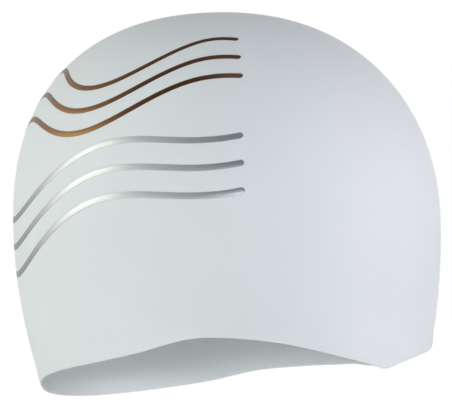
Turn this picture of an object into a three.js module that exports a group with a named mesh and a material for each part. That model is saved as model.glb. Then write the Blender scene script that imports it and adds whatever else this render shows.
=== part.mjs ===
// Swim cap: one thin moulded dome of silicone, hollow and open below, in the form that it has when worn.
// Millimetres, +Z up. The front of the cap faces -Y, and the wearer's left side is +X.
// The origin is the highest point of the inner face, where a head carries the cap.
import * as THREE from 'three';

// Sizes over the outer face
const CAP_WIDTH = 160;
const CAP_LENGTH = 205;
const CROWN_HEIGHT = 90; // from the highest point down to the widest level
const NAPE_DEPTH = 168; // from the highest point down to the rim at the nape
const CROWN_SETBACK = 9; // how far the highest point lies behind the middle of the nape's level
const WALL = 1;

// Squareness of the rounded outlines: 2 is an ellipse, and more is fuller at the corners
const PLAN_SQUARENESS = 2.1;
const PROFILE_SQUARENESS = { front: 2.16, back: 2.34 };

// Share by which the back is wider, and the front narrower, than the middle
const BACK_WIDENING_SHARE = 0.06;

// How far the wall tucks in from the widest level down to the nape's level: a share of the half width
// at the sides, and of the half length at the front and the back
const TUCK_SHARE = { front: 0.04, side: 0.27, back: 0.01 };
const TUCK_CURVE = 2; // 1 is a straight slant, and more starts it later

// Depth of the rim below the highest point, as a share of the nape's depth. The turn is in degrees
// from the front, and each side of the wearer has its column. Turn 0 is the small rounded front peak.
const RIM = [
  { turn: 0, right: 0.877, left: 0.877 },
  { turn: 8, right: 0.864, left: 0.863 },
  { turn: 20, right: 0.845, left: 0.846 },
  { turn: 35, right: 0.821, left: 0.833 },
  { turn: 50, right: 0.812, left: 0.812 },
  { turn: 60, right: 0.819, left: 0.828 },
  { turn: 75, right: 0.856, left: 0.887 },
  { turn: 90, right: 0.884, left: 0.892 },
  { turn: 120, right: 0.931, left: 0.92 },
  { turn: 135, right: 0.959, left: 0.955 },
  { turn: 150, right: 0.986, left: 0.978 },
  { turn: 165, right: 0.998, left: 0.993 },
  { turn: 180, right: 1, left: 1 },
];

// Fineness of the faceted walls
const TURN_STEPS = 72;
const RING_STEPS = 24;
const CROWN_RING_SHARE = 0.64; // share of the rings that lies above the widest level
const EDGE_STEPS = 4;

const SILICONE = { color: 0xe6ebea, roughness: 0.5, metalness: 0 };

// The rim's rows once around, from the nape along the right side to the front and back along the left
const RIM_LOOP = [
  ...RIM.slice(1).reverse().map((row) => ({ turn: -row.turn, share: row.right })),
  ...RIM.map((row) => ({ turn: row.turn, share: row.left })),
];

// Slope of the rim's smooth curve at one of its rows. The two ends of the loop are the same place.
function rimSlope(index) {
  const last = RIM_LOOP.length - 1;
  const before = index === 0 ? last - 1 : index - 1;
  const after = index === last ? 1 : index + 1;
  const gapBefore = index === 0 ? 180 - RIM_LOOP[before].turn : RIM_LOOP[index].turn - RIM_LOOP[before].turn;
  const gapAfter = index === last ? RIM_LOOP[after].turn + 180 : RIM_LOOP[after].turn - RIM_LOOP[index].turn;
  return (RIM_LOOP[after].share - RIM_LOOP[before].share) / (gapBefore + gapAfter);
}

// Depth of the rim at a turn between -180 and 180 degrees: a smooth curve through the rows
function rimDepth(turn) {
  let index = 0;
  while (index < RIM_LOOP.length - 2 && RIM_LOOP[index + 1].turn <= turn) index += 1;
  const from = RIM_LOOP[index];
  const to = RIM_LOOP[index + 1];
  const gap = to.turn - from.turn;
  const t = (turn - from.turn) / gap;
  const share = from.share * (1 + 2 * t) * (1 - t) ** 2
    + to.share * t ** 2 * (3 - 2 * t)
    + rimSlope(index) * gap * t * (1 - t) ** 2
    - rimSlope(index + 1) * gap * t ** 2 * (1 - t);
  return NAPE_DEPTH * share;
}

// Squareness of the crown's profile, blended from the front to the back
function profileSquareness(cosine) {
  return THREE.MathUtils.lerp(PROFILE_SQUARENESS.back, PROFILE_SQUARENESS.front, (1 + cosine) / 2);
}

// Share of its full size that the outline has at a depth below the highest point, before the tuck
function crownShare(cosine, depth) {
  if (depth >= CROWN_HEIGHT) return 1;
  const squareness = profileSquareness(cosine);
  return (1 - (1 - depth / CROWN_HEIGHT) ** squareness) ** (1 / squareness);
}

// A point of the outer face at a turn in degrees and a depth below the highest point
function outerPoint(turn, depth) {
  const sine = Math.sin(THREE.MathUtils.degToRad(turn));
  const cosine = Math.cos(THREE.MathUtils.degToRad(turn));
  const corner = (Math.abs(sine) ** PLAN_SQUARENESS + Math.abs(cosine) ** PLAN_SQUARENESS)
    ** (-1 / PLAN_SQUARENESS);
  const share = corner * crownShare(cosine, depth);
  const below = Math.max(0, (depth - CROWN_HEIGHT) / (NAPE_DEPTH - CROWN_HEIGHT)) ** TUCK_CURVE;
  const endTuck = cosine > 0 ? TUCK_SHARE.front : TUCK_SHARE.back;
  return new THREE.Vector3(
    CAP_WIDTH / 2 * share * sine * (1 - TUCK_SHARE.side * below) * (1 - BACK_WIDENING_SHARE * cosine),
    -CAP_LENGTH / 2 * share * cosine * (1 - endTuck * below) - CROWN_SETBACK * depth / NAPE_DEPTH,
    WALL - depth,
  );
}

// The outward normal and the downward run of the outer face, from points close by
function outerFrame(turn, depth) {
  const angleStep = 0.01;
  const depthStep = 0.001;
  const down = outerPoint(turn, depth + depthStep).sub(outerPoint(turn, depth - depthStep)).normalize();
  const around = outerPoint(turn + angleStep, depth).sub(outerPoint(turn - angleStep, depth)).normalize();
  return { down, normal: down.clone().cross(around).normalize() };
}

// Depth of each ring, from just below the highest point to the start of the rim's round edge
function ringDepth(ring, turn) {
  const level = ring / RING_STEPS;
  const edge = rimDepth(turn) - WALL / 2;
  if (level > CROWN_RING_SHARE) {
    return CROWN_HEIGHT + (edge - CROWN_HEIGHT) * (level - CROWN_RING_SHARE) / (1 - CROWN_RING_SHARE);
  }
  const swing = Math.cos(level / CROWN_RING_SHARE * Math.PI / 2);
  return CROWN_HEIGHT * (1 - swing ** (2 / profileSquareness(0)));
}

function turnAt(step) {
  return -180 + 360 * step / TURN_STEPS;
}

// The closed shell as loops of points: down the outer face, round the edge and up the inner face
function shellLoops() {
  const loops = [];
  for (let ring = 1; ring <= RING_STEPS; ring += 1) {
    loops.push((turn) => outerPoint(turn, ringDepth(ring, turn)));
  }
  for (let step = 1; step < EDGE_STEPS; step += 1) {
    const swing = Math.PI * step / EDGE_STEPS;
    loops.push((turn) => {
      const depth = ringDepth(RING_STEPS, turn);
      const { down, normal } = outerFrame(turn, depth);
      return outerPoint(turn, depth)
        .addScaledVector(normal, (Math.cos(swing) - 1) * WALL / 2)
        .addScaledVector(down, Math.sin(swing) * WALL / 2);
    });
  }
  for (let ring = RING_STEPS; ring >= 1; ring -= 1) {
    loops.push((turn) => {
      const depth = ringDepth(ring, turn);
      return outerPoint(turn, depth).addScaledVector(outerFrame(turn, depth).normal, -WALL);
    });
  }
  return loops;
}

// One closed body: the loops skinned in order, with a fan to each highest point
function shellGeometry() {
  const loops = shellLoops();
  const points = [new THREE.Vector3(0, 0, WALL)];
  for (const loop of loops) {
    for (let step = 0; step < TURN_STEPS; step += 1) points.push(loop(turnAt(step)));
  }
  points.push(new THREE.Vector3(0, 0, 0));

  const at = (loop, step) => 1 + loop * TURN_STEPS + step % TURN_STEPS;
  const index = [];
  for (let step = 0; step < TURN_STEPS; step += 1) {
    index.push(0, at(0, step), at(0, step + 1));
    for (let loop = 0; loop < loops.length - 1; loop += 1) {
      index.push(at(loop, step), at(loop + 1, step), at(loop + 1, step + 1));
      index.push(at(loop, step), at(loop + 1, step + 1), at(loop, step + 1));
    }
    index.push(points.length - 1, at(loops.length - 1, step + 1), at(loops.length - 1, step));
  }
  const geometry = new THREE.BufferGeometry().setFromPoints(points);
  geometry.setIndex(index);
  geometry.computeVertexNormals();
  return geometry;
}

const capShell = new THREE.Mesh(shellGeometry(), new THREE.MeshStandardMaterial(SILICONE));
capShell.name = 'cap_shell';

const swimCap = new THREE.Group();
swimCap.add(capShell);

export default swimCap;
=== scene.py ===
import math

import bpy
import numpy as np
from mathutils import Matrix, Vector


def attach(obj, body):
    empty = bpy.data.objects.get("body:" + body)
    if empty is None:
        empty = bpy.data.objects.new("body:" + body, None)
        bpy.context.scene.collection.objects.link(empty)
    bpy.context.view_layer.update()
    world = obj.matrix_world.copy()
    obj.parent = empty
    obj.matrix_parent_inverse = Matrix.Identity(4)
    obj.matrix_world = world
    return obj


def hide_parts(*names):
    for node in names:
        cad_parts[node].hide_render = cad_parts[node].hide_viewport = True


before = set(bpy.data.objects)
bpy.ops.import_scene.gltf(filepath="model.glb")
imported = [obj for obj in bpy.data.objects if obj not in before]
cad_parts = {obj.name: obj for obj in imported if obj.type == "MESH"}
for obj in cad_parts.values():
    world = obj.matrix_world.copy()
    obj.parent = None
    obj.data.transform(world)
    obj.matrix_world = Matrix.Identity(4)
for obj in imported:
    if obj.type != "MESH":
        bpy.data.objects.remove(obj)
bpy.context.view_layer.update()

MM = 0.001

# Sizes over the outer face, as in the part
CAP_WIDTH = 160 * MM
CAP_LENGTH = 205 * MM
CROWN_HEIGHT = 90 * MM  # from the highest point down to the widest level
NAPE_DEPTH = 168 * MM  # from the highest point down to the rim at the nape
CROWN_SETBACK = 9 * MM  # how far the highest point lies behind the middle of the nape's level
WALL = 1 * MM

# Squareness of the rounded outlines: 2 is an ellipse, and more is fuller at the corners
PLAN_SQUARENESS = 2.1
PROFILE_SQUARENESS = {"front": 2.16, "back": 2.34}

# Share by which the back is wider, and the front narrower, than the middle
BACK_WIDENING_SHARE = 0.06

# How far the wall tucks in from the widest level down to the nape's level: a share of the half width
# at the sides, and of the half length at the front and the back
TUCK_SHARE = {"front": 0.04, "side": 0.27, "back": 0.01}
TUCK_CURVE = 2  # 1 is a straight slant, and more starts it later

# Depth of the rim below the highest point, as a share of the nape's depth. The turn is in degrees
# from the front, and each side of the wearer has its column. Turn 0 is the small rounded front peak.
RIM = [
    {"turn": 0, "right": 0.877, "left": 0.877},
    {"turn": 8, "right": 0.864, "left": 0.863},
    {"turn": 20, "right": 0.845, "left": 0.846},
    {"turn": 35, "right": 0.821, "left": 0.833},
    {"turn": 50, "right": 0.812, "left": 0.812},
    {"turn": 60, "right": 0.819, "left": 0.828},
    {"turn": 75, "right": 0.856, "left": 0.887},
    {"turn": 90, "right": 0.884, "left": 0.892},
    {"turn": 120, "right": 0.931, "left": 0.92},
    {"turn": 135, "right": 0.959, "left": 0.955},
    {"turn": 150, "right": 0.986, "left": 0.978},
    {"turn": 165, "right": 0.998, "left": 0.993},
    {"turn": 180, "right": 1, "left": 1},
]

# The rim rolls outwards a little over its last few millimetres
RIM_ROLL = 0.35 * MM
RIM_ROLL_HEIGHT = 5 * MM

# Fineness of the modelled wall
TURN_STEPS = 240
RING_STEPS = 118
CROWN_RING_SHARE = 0.6  # share of the rings that lies above the widest level
EDGE_STEPS = 8

# Two bundles of wave lines round the wearer's right side. Turns are in degrees. Depths, swells and
# gaps are in millimetres, each from the back end to the front end, and so is the width of a line.
WAVES = {
    "copper": {"turns": (-166, -41), "depths": (56, 26), "swells": (12, 4), "gaps": (12, 8),
               "waves": 1.7, "phase": 0.2, "lines": 3, "width": 2.5},
    "silver": {"turns": (-170, -42), "depths": (110, 63), "swells": (12, 4), "gaps": (12, 11),
               "waves": 1.6, "phase": 0.62, "lines": 3, "width": 2.7},
}
WAVE_SAMPLES = 600  # points at which a line's length is measured

# Section of a printed line. The shares are of its half width and of its height.
INK_HEIGHT = 0.07 * MM
INK_SINK = 0.05 * MM
INK_TOP_SHARE = 0.86
INK_SHOULDER_SHARE = 0.4
STROKE_STEP = 1.2 * MM
STROKE_END_STEPS = 8
STROKE_TIP_SHARE = 0.1

# The inks: how metallic each is, and its colour at places along a line from the back to the front. The hues
# are the inks' own; the rise towards the middle of a line is a painted highlight, and the line is darker
# towards its ends
INKS = {
    "copper": {"metallic": 0.75, "painted_highlight_tones": [
        (0.0, (0.12, 0.05, 0.02)), (0.38, (0.12, 0.055, 0.02)), (0.56, (0.3, 0.14, 0.045)),
        (0.78, (0.17, 0.07, 0.025)), (1.0, (0.1, 0.045, 0.022)),
    ]},
    "silver": {"metallic": 0.5, "painted_highlight_tones": [
        (0.0, (0.18, 0.19, 0.2)), (0.36, (0.18, 0.19, 0.2)), (0.55, (0.51, 0.49, 0.53)),
        (0.72, (0.83, 0.83, 0.85)), (0.86, (0.66, 0.68, 0.7)), (1.0, (0.35, 0.37, 0.39)),
    ]},
}

# Colours at places along the range of a texture
SILICONE_TONES = [(0.3, (0.775, 0.805, 0.805)), (0.7, (0.8, 0.828, 0.828))]
FLAKE_TONES = [(0.0, (1.0, 1.0, 1.0)), (0.6, (0.86, 0.86, 0.86))]
FLOOR_TONES = [(0.3, (0.9, 0.905, 0.91)), (0.7, (0.92, 0.925, 0.93))]

# Camera: seen from the wearer's right front, level with the lower half of the cap. It turns to the
# target, which lies at a pixel of the picture. Angles are in degrees, and an azimuth counts from the
# front towards the wearer's left.
TARGET = Vector((0, 0, -79 * MM))
AZIMUTH = -38
ELEVATION = -1.35
ROLL = 1.3
DISTANCE = 1.2
PICTURE_WIDTH = 452
PICTURE_HEIGHT = 408
PIXELS_PER_METRE = 2340
TARGET_X = 221.0
TARGET_Y = 200.4
SENSOR = 36
CLIP_END = 100

# Studio floor: its glow grows from the near distance to the far one, so that it ends in white
FLOOR_DROP = 0.4
FLOOR_RADIUS = 14
FLOOR_STEPS = 96
FLOOR_GLOW = {"near": 0.1, "far": 3.0, "strength": 0.8}

# Sky: its colour at heights from level (0) to straight up (1), and how far behind the cap, as seen
# by the camera, its light fades in
SKY_TONES = [(0.25, (1.0, 1.0, 1.0)), (0.85, (0.22, 0.225, 0.23))]
SKY_FADE = (-0.8, 0.8)

# Soft lights that face the target, with sizes in metres and powers in watts
LIGHT_DISTANCE = 2.5
LIGHTS = [
    {"name": "right_softbox", "azimuth": 37, "elevation": 12, "size": (1.4, 0.8), "power": 22,
     "colour": (0.92, 0.89, 1.0)},
    {"name": "left_softbox", "azimuth": -138, "elevation": 10, "size": (1.0, 1.4), "power": 13,
     "colour": (0.9, 1.0, 0.8)},
    {"name": "front_strip", "azimuth": -52, "elevation": 1.8, "size": (1.0, 0.2), "power": 20,
     "colour": (0.93, 0.96, 1.0)},
    {"name": "top_softbox", "azimuth": -38, "elevation": 75, "size": (1.8, 1.8), "power": 16,
     "colour": (0.9, 0.94, 1.0)},
]


# Shape of the wall

# The rim's rows once around, from the nape along the right side to the front and back along the left
RIM_LOOP = [(-row["turn"], row["right"]) for row in RIM[:0:-1]] + [(row["turn"], row["left"]) for row in RIM]
RIM_TURNS, RIM_SHARES = np.array(RIM_LOOP, float).T


def rim_slopes():
    """Slope of the rim's smooth curve at each row; the loop's two ends are the same place."""
    turns = np.concatenate([[RIM_TURNS[-2] - 360], RIM_TURNS, [RIM_TURNS[1] + 360]])
    shares = np.concatenate([[RIM_SHARES[-2]], RIM_SHARES, [RIM_SHARES[1]]])
    return (shares[2:] - shares[:-2]) / (turns[2:] - turns[:-2])


RIM_SLOPES = rim_slopes()


def rim_depth(turn):
    """Depth of the rim below the highest point, at turns between -180 and 180 degrees."""
    index = np.clip(np.searchsorted(RIM_TURNS, turn, side="right") - 1, 0, len(RIM_TURNS) - 2)
    gap = RIM_TURNS[index + 1] - RIM_TURNS[index]
    t = (turn - RIM_TURNS[index]) / gap
    share = (
        RIM_SHARES[index] * (1 + 2 * t) * (1 - t) ** 2
        + RIM_SHARES[index + 1] * t ** 2 * (3 - 2 * t)
        + RIM_SLOPES[index] * gap * t * (1 - t) ** 2
        - RIM_SLOPES[index + 1] * gap * t ** 2 * (1 - t)
    )
    return NAPE_DEPTH * share


def profile_squareness(cosine):
    """Squareness of the crown's profile, blended from the front to the back."""
    back = PROFILE_SQUARENESS["back"]
    return back + (PROFILE_SQUARENESS["front"] - back) * (1 + cosine) / 2


def crown_share(cosine, depth):
    """Share of its full size that the outline has at a depth, before the tuck."""
    squareness = profile_squareness(cosine)
    above = np.clip(1 - depth / CROWN_HEIGHT, 0, 1)
    return (1 - above ** squareness) ** (1 / squareness)


def plain_point(turn, depth):
    """A point of the plain outer face at a turn in degrees and a depth below the highest point."""
    sine = np.sin(np.radians(turn))
    cosine = np.cos(np.radians(turn))
    corner = (np.abs(sine) ** PLAN_SQUARENESS + np.abs(cosine) ** PLAN_SQUARENESS) ** (-1 / PLAN_SQUARENESS)
    share = corner * crown_share(cosine, depth)
    below = np.clip((depth - CROWN_HEIGHT) / (NAPE_DEPTH - CROWN_HEIGHT), 0, None) ** TUCK_CURVE
    end_tuck = np.where(cosine > 0, TUCK_SHARE["front"], TUCK_SHARE["back"])
    half_width = CAP_WIDTH / 2 * (1 - TUCK_SHARE["side"] * below) * (1 - BACK_WIDENING_SHARE * cosine)
    half_length = CAP_LENGTH / 2 * (1 - end_tuck * below)
    setback = CROWN_SETBACK * depth / NAPE_DEPTH
    return np.stack([half_width * share * sine, -half_length * share * cosine - setback, WALL - depth], -1)


def unit(vectors):
    return vectors / np.linalg.norm(vectors, axis=-1, keepdims=True)


def face_frame(turn, depth):
    """The outward normal and the downward run of the plain outer face, from points close by."""
    turn_step = 0.01
    depth_step = 0.001 * MM
    down = unit(plain_point(turn, depth + depth_step) - plain_point(turn, depth - depth_step))
    around = unit(plain_point(turn + turn_step, depth) - plain_point(turn - turn_step, depth))
    return unit(np.cross(down, around)), down


def rim_roll(turn, depth):
    """How far the outer face stands off the plain one, near the rim."""
    above_rim = rim_depth(turn) - depth
    return RIM_ROLL * np.exp(-(above_rim / RIM_ROLL_HEIGHT) ** 2)


def outer_point(turn, depth):
    """A point of the outer face, with the roll of its rim."""
    normal, _ = face_frame(turn, depth)
    return plain_point(turn, depth) + normal * rim_roll(turn, depth)[..., None]


# Meshes

def new_object(name, points, faces, uvs=None):
    """A smooth-shaded mesh object; uvs gives each point its place along and across a stroke."""
    mesh = bpy.data.meshes.new(name)
    mesh.from_pydata([tuple(point) for point in points], [], faces)
    mesh.update()
    mesh.polygons.foreach_set("use_smooth", [True] * len(mesh.polygons))
    if uvs is not None:
        layer = mesh.uv_layers.new(name="stroke")
        for loop in mesh.loops:
            layer.data[loop.index].uv = uvs[loop.vertex_index]
    thing = bpy.data.objects.new(name, mesh)
    bpy.context.scene.collection.objects.link(thing)
    return thing


def ring_depths(turns):
    """Depths of all rings at the given turns, as an array of rings by turns."""
    level = np.arange(1, RING_STEPS + 1)[:, None] / RING_STEPS
    edge = (rim_depth(turns) - WALL / 2)[None, :]
    swing = np.cos(np.clip(level / CROWN_RING_SHARE, 0, 1) * math.pi / 2)
    crown = CROWN_HEIGHT * (1 - swing ** (2 / profile_squareness(0)))
    side = CROWN_HEIGHT + (edge - CROWN_HEIGHT) * (level - CROWN_RING_SHARE) / (1 - CROWN_RING_SHARE)
    return np.where(level > CROWN_RING_SHARE, side, crown)


def make_shell():
    """The whole dome: outer face, round edge and inner face in one closed mesh."""
    turns = -180 + 360 * np.arange(TURN_STEPS) / TURN_STEPS
    depths = ring_depths(turns)
    across = np.broadcast_to(turns, depths.shape)
    outer = outer_point(across, depths)
    normal, down = face_frame(across, depths)
    inner = outer - normal * WALL
    swings = np.pi * np.arange(1, EDGE_STEPS)[:, None, None] / EDGE_STEPS
    edge = (
        outer[-1]
        + normal[-1] * (np.cos(swings) - 1) * WALL / 2
        + down[-1] * np.sin(swings) * WALL / 2
    )
    loops = np.concatenate([outer, edge, inner[::-1]])
    points = np.vstack([[[0, 0, WALL]], loops.reshape(-1, 3), [[0, 0, 0]]])

    def at(loop, step):
        return 1 + loop * TURN_STEPS + step % TURN_STEPS

    faces = []
    last = len(loops) - 1
    for step in range(TURN_STEPS):
        faces.append((0, at(0, step), at(0, step + 1)))
        for loop in range(last):
            faces.append((at(loop, step), at(loop + 1, step), at(loop + 1, step + 1), at(loop, step + 1)))
        faces.append((len(points) - 1, at(last, step + 1), at(last, step)))
    return new_object("cap_moulding", points, faces)


def wave_line(wave, line):
    """Turns, depths and places along its run of one wave line's sections, closer at its round ends."""
    t = np.linspace(0, 1, WAVE_SAMPLES)

    def between(pair):
        return pair[0] + (pair[1] - pair[0]) * t

    turn = between(wave["turns"])
    offset = (line - (wave["lines"] - 1) / 2) * between(wave["gaps"])
    swell = between(wave["swells"]) * np.sin(2 * math.pi * (wave["waves"] * t + wave["phase"]))
    depth = (between(wave["depths"]) + offset + swell) * MM
    run = np.linalg.norm(np.diff(outer_point(turn, depth), axis=0), axis=1)
    length = np.concatenate([[0], np.cumsum(run)])
    half = wave["width"] * MM / 2
    end = half * (1 - np.cos(np.linspace(0, math.pi / 2, STROKE_END_STEPS)))
    middle = np.arange(half + STROKE_STEP, length[-1] - half, STROKE_STEP)
    along = np.concatenate([end, middle, length[-1] - end[::-1]])
    return np.interp(along, length, turn), np.interp(along, length, depth), along


def add_stroke(turn, depth, along, width, points, faces, uvs):
    """Adds one closed strip of ink with round ends and soft shoulders to a mesh's three lists."""
    centre = outer_point(turn, depth)
    normal, _ = face_frame(turn, depth)
    forward = unit(np.gradient(centre, along, axis=0))
    side = unit(np.cross(normal, forward))
    from_end = np.minimum(along, along[-1] - along)
    reach = np.clip(1 - from_end / (width / 2), 0, 1)
    half = width / 2 * np.maximum(np.sqrt(1 - reach ** 2), STROKE_TIP_SHARE)
    shoulder = INK_HEIGHT * INK_SHOULDER_SHARE
    section = [(-1, -INK_SINK), (-1, shoulder), (-INK_TOP_SHARE, INK_HEIGHT),
               (INK_TOP_SHARE, INK_HEIGHT), (1, shoulder), (1, -INK_SINK)]
    start = len(points)
    for index in range(len(along)):
        for share, height in section:
            points.append(centre[index] + side[index] * half[index] * share + normal[index] * height)
            uvs.append((along[index] / along[-1], 0.5 + share / 2))
    size = len(section)
    for index in range(len(along) - 1):
        for corner in range(size):
            a = start + index * size + corner
            b = start + index * size + (corner + 1) % size
            faces.append((a, b, b + size, a + size))
    faces.append(tuple(start + corner for corner in reversed(range(size))))
    end = start + (len(along) - 1) * size
    faces.append(tuple(end + corner for corner in range(size)))


def make_print(name, wave):
    """One bundle of wave lines as a single object."""
    points, faces, uvs = [], [], []
    for line in range(wave["lines"]):
        add_stroke(*wave_line(wave, line), wave["width"] * MM, points, faces, uvs)
    return new_object(name, points, faces, uvs)


# Materials

class Nodes:
    """Short way to add and link the nodes of a material or of the world."""

    def __init__(self, owner):
        owner.use_nodes = True
        self.owner = owner
        self.tree = owner.node_tree

    def add(self, kind, **values):
        node = self.tree.nodes.new(kind)
        for key, value in values.items():
            if key in node.inputs:
                node.inputs[key].default_value = value
            else:
                setattr(node, key, value)
        return node

    def link(self, source, target):
        self.tree.links.new(source, target)

    def noise(self, place, **values):
        node = self.add("ShaderNodeTexNoise", **values)
        self.link(place, node.inputs["Vector"])
        return node.outputs["Fac"]

    def ramp(self, factor, stops, interpolation="LINEAR"):
        node = self.add("ShaderNodeValToRGB")
        node.color_ramp.interpolation = interpolation
        elements = node.color_ramp.elements
        while len(elements) < len(stops):
            elements.new(0.5)
        for element, (place, colour) in zip(elements, stops):
            element.position = place
            element.color = (*colour, 1)
        self.link(factor, node.inputs["Fac"])
        return node.outputs["Color"]

    def map_range(self, value, result, source=(0, 1), interpolation="LINEAR"):
        """The value, carried over from the source's range to the result's."""
        node = self.add("ShaderNodeMapRange", interpolation_type=interpolation)
        node.inputs["From Min"].default_value, node.inputs["From Max"].default_value = source
        node.inputs["To Min"].default_value, node.inputs["To Max"].default_value = result
        self.link(value, node.inputs["Value"])
        return node.outputs["Result"]


def silicone():
    """Matt white silicone with faint clouds, a soft bloom and a fine grain."""
    n = Nodes(bpy.data.materials.new("matt_white_silicone"))
    shader = n.tree.nodes["Principled BSDF"]
    place = n.add("ShaderNodeTexCoord").outputs["Object"]
    cloud = n.noise(place, Scale=22.0, Detail=3.0, Roughness=0.5)
    n.link(n.ramp(cloud, SILICONE_TONES), shader.inputs["Base Color"])
    bloom = n.noise(place, Scale=160.0, Detail=4.0, Roughness=0.6)
    n.link(n.map_range(bloom, (0.66, 0.76)), shader.inputs["Roughness"])
    grain = n.noise(place, Scale=2600.0, Detail=2.0, Roughness=0.5)
    bump = n.add("ShaderNodeBump", Strength=0.06, Distance=0.1 * MM)
    n.link(grain, bump.inputs["Height"])
    n.link(bump.outputs["Normal"], shader.inputs["Normal"])
    shader.inputs["Specular IOR Level"].default_value = 0.25
    shader.inputs["Subsurface Weight"].default_value = 0.1
    shader.inputs["Subsurface Radius"].default_value = (1.0, 0.95, 0.9)
    shader.inputs["Subsurface Scale"].default_value = 1.2 * MM
    return n.owner


def metallic_ink(name, ink):
    """Ink whose tone runs along each stroke, with a painted highlight towards its middle and darker ends,
    and with fine flakes.
    """
    n = Nodes(bpy.data.materials.new(name))
    shader = n.tree.nodes["Principled BSDF"]
    along = n.add("ShaderNodeSeparateXYZ")
    n.link(n.add("ShaderNodeUVMap", uv_map="stroke").outputs["UV"], along.inputs["Vector"])
    place = n.add("ShaderNodeTexCoord").outputs["Object"]
    flake = n.add("ShaderNodeTexVoronoi", Scale=5200.0)
    n.link(place, flake.inputs["Vector"])
    mix = n.add("ShaderNodeMix", data_type="RGBA", blend_type="MULTIPLY")
    mix.inputs["Factor"].default_value = 1.0
    # The tone along the stroke paints a highlight towards its middle and darkens towards its ends
    n.link(n.ramp(along.outputs["X"], ink["painted_highlight_tones"]), mix.inputs["A"])
    n.link(n.ramp(flake.outputs["Distance"], FLAKE_TONES), mix.inputs["B"])
    n.link(mix.outputs["Result"], shader.inputs["Base Color"])
    worn = n.noise(place, Scale=400.0, Detail=3.0)
    n.link(n.map_range(worn, (0.3, 0.42)), shader.inputs["Roughness"])
    shader.inputs["Metallic"].default_value = ink["metallic"]
    return n.owner


# Studio

def direction(azimuth, elevation=0):
    """The way out from the cap at an azimuth and an elevation in degrees."""
    turn = math.radians(azimuth)
    rise = math.radians(elevation)
    return Vector((math.sin(turn) * math.cos(rise), -math.cos(turn) * math.cos(rise), math.sin(rise)))


def make_floor():
    """A round pale floor that glows more and more with the distance."""
    circle = [direction(360 * step / FLOOR_STEPS) * FLOOR_RADIUS for step in range(FLOOR_STEPS)]
    points = [(point.x, point.y, -FLOOR_DROP) for point in circle]
    floor = new_object("studio_floor", points, [tuple(range(FLOOR_STEPS))])
    n = Nodes(bpy.data.materials.new("pale_floor"))
    shader = n.tree.nodes["Principled BSDF"]
    place = n.add("ShaderNodeTexCoord").outputs["Object"]
    n.link(n.ramp(n.noise(place, Scale=1.5, Detail=2.0), FLOOR_TONES), shader.inputs["Base Color"])
    shader.inputs["Roughness"].default_value = 0.9
    away = n.add("ShaderNodeVectorMath", operation="LENGTH")
    n.link(place, away.inputs[0])
    reach = (FLOOR_GLOW["near"], FLOOR_GLOW["far"])
    glow = n.map_range(away.outputs["Value"], (0, FLOOR_GLOW["strength"]), reach, "SMOOTHSTEP")
    n.link(glow, shader.inputs["Emission Strength"])
    shader.inputs["Emission Color"].default_value = (1, 1, 1, 1)
    floor.data.materials.append(n.owner)


def make_sky():
    """Soft white light that dims towards the top and on the front side; the camera sees plain white."""
    world = bpy.data.worlds.new("studio")
    bpy.context.scene.world = world
    n = Nodes(world)
    light = n.tree.nodes["Background"]
    place = n.add("ShaderNodeTexCoord").outputs["Generated"]
    height = n.add("ShaderNodeSeparateXYZ")
    n.link(place, height.inputs["Vector"])
    n.link(n.ramp(height.outputs["Z"], SKY_TONES, "EASE"), light.inputs["Color"])
    behind = n.add("ShaderNodeVectorMath", operation="DOT_PRODUCT")
    n.link(place, behind.inputs[0])
    behind.inputs[1].default_value = -direction(AZIMUTH)
    n.link(n.map_range(behind.outputs["Value"], (0, 1), SKY_FADE, "SMOOTHSTEP"), light.inputs["Strength"])
    backdrop = n.add("ShaderNodeBackground", Color=(1, 1, 1, 1))
    seen = n.add("ShaderNodeMixShader")
    n.link(n.add("ShaderNodeLightPath").outputs["Is Camera Ray"], seen.inputs["Fac"])
    n.link(light.outputs["Background"], seen.inputs[1])
    n.link(backdrop.outputs["Background"], seen.inputs[2])
    n.link(seen.outputs["Shader"], n.tree.nodes["World Output"].inputs["Surface"])


def make_light(row):
    """One soft light from the table, turned to the target and unseen by the camera."""
    light = bpy.data.lights.new(row["name"], "AREA")
    light.shape = "RECTANGLE"
    light.size, light.size_y = row["size"]
    light.energy = row["power"]
    light.color = row["colour"]
    lamp = bpy.data.objects.new(row["name"], light)
    lamp.visible_camera = False
    back = direction(row["azimuth"], row["elevation"])
    lamp.location = TARGET + back * LIGHT_DISTANCE
    lamp.rotation_mode = "QUATERNION"
    lamp.rotation_quaternion = back.to_track_quat("Z", "Y")
    bpy.context.scene.collection.objects.link(lamp)


def make_camera():
    data = bpy.data.cameras.new("camera")
    data.sensor_width = SENSOR
    data.lens = PIXELS_PER_METRE * DISTANCE * SENSOR / PICTURE_WIDTH
    data.shift_x = (PICTURE_WIDTH / 2 - TARGET_X) / PICTURE_WIDTH
    data.shift_y = (TARGET_Y - PICTURE_HEIGHT / 2) / PICTURE_WIDTH
    data.clip_end = CLIP_END
    camera = bpy.data.objects.new("camera", data)
    back = direction(AZIMUTH, ELEVATION)
    right = direction(AZIMUTH + 90)
    turn = Matrix.Rotation(math.radians(ROLL), 3, back)
    axes = Matrix((turn @ right, turn @ back.cross(right), back)).transposed()
    camera.matrix_world = Matrix.Translation(TARGET + back * DISTANCE) @ axes.to_4x4()
    bpy.context.scene.collection.objects.link(camera)
    bpy.context.scene.camera = camera


# The cap

shell = make_shell()
shell.data.materials.append(silicone())
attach(shell, "root")
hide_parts("cap_shell")

for colour, wave in WAVES.items():
    lines = make_print(colour + "_wave_lines", wave)
    lines.data.materials.append(metallic_ink(colour + "_ink", INKS[colour]))
    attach(lines, "root")


# The picture

make_floor()
make_sky()
make_camera()
for row in LIGHTS:
    make_light(row)
bpy.context.scene.view_settings.view_transform = "Standard"
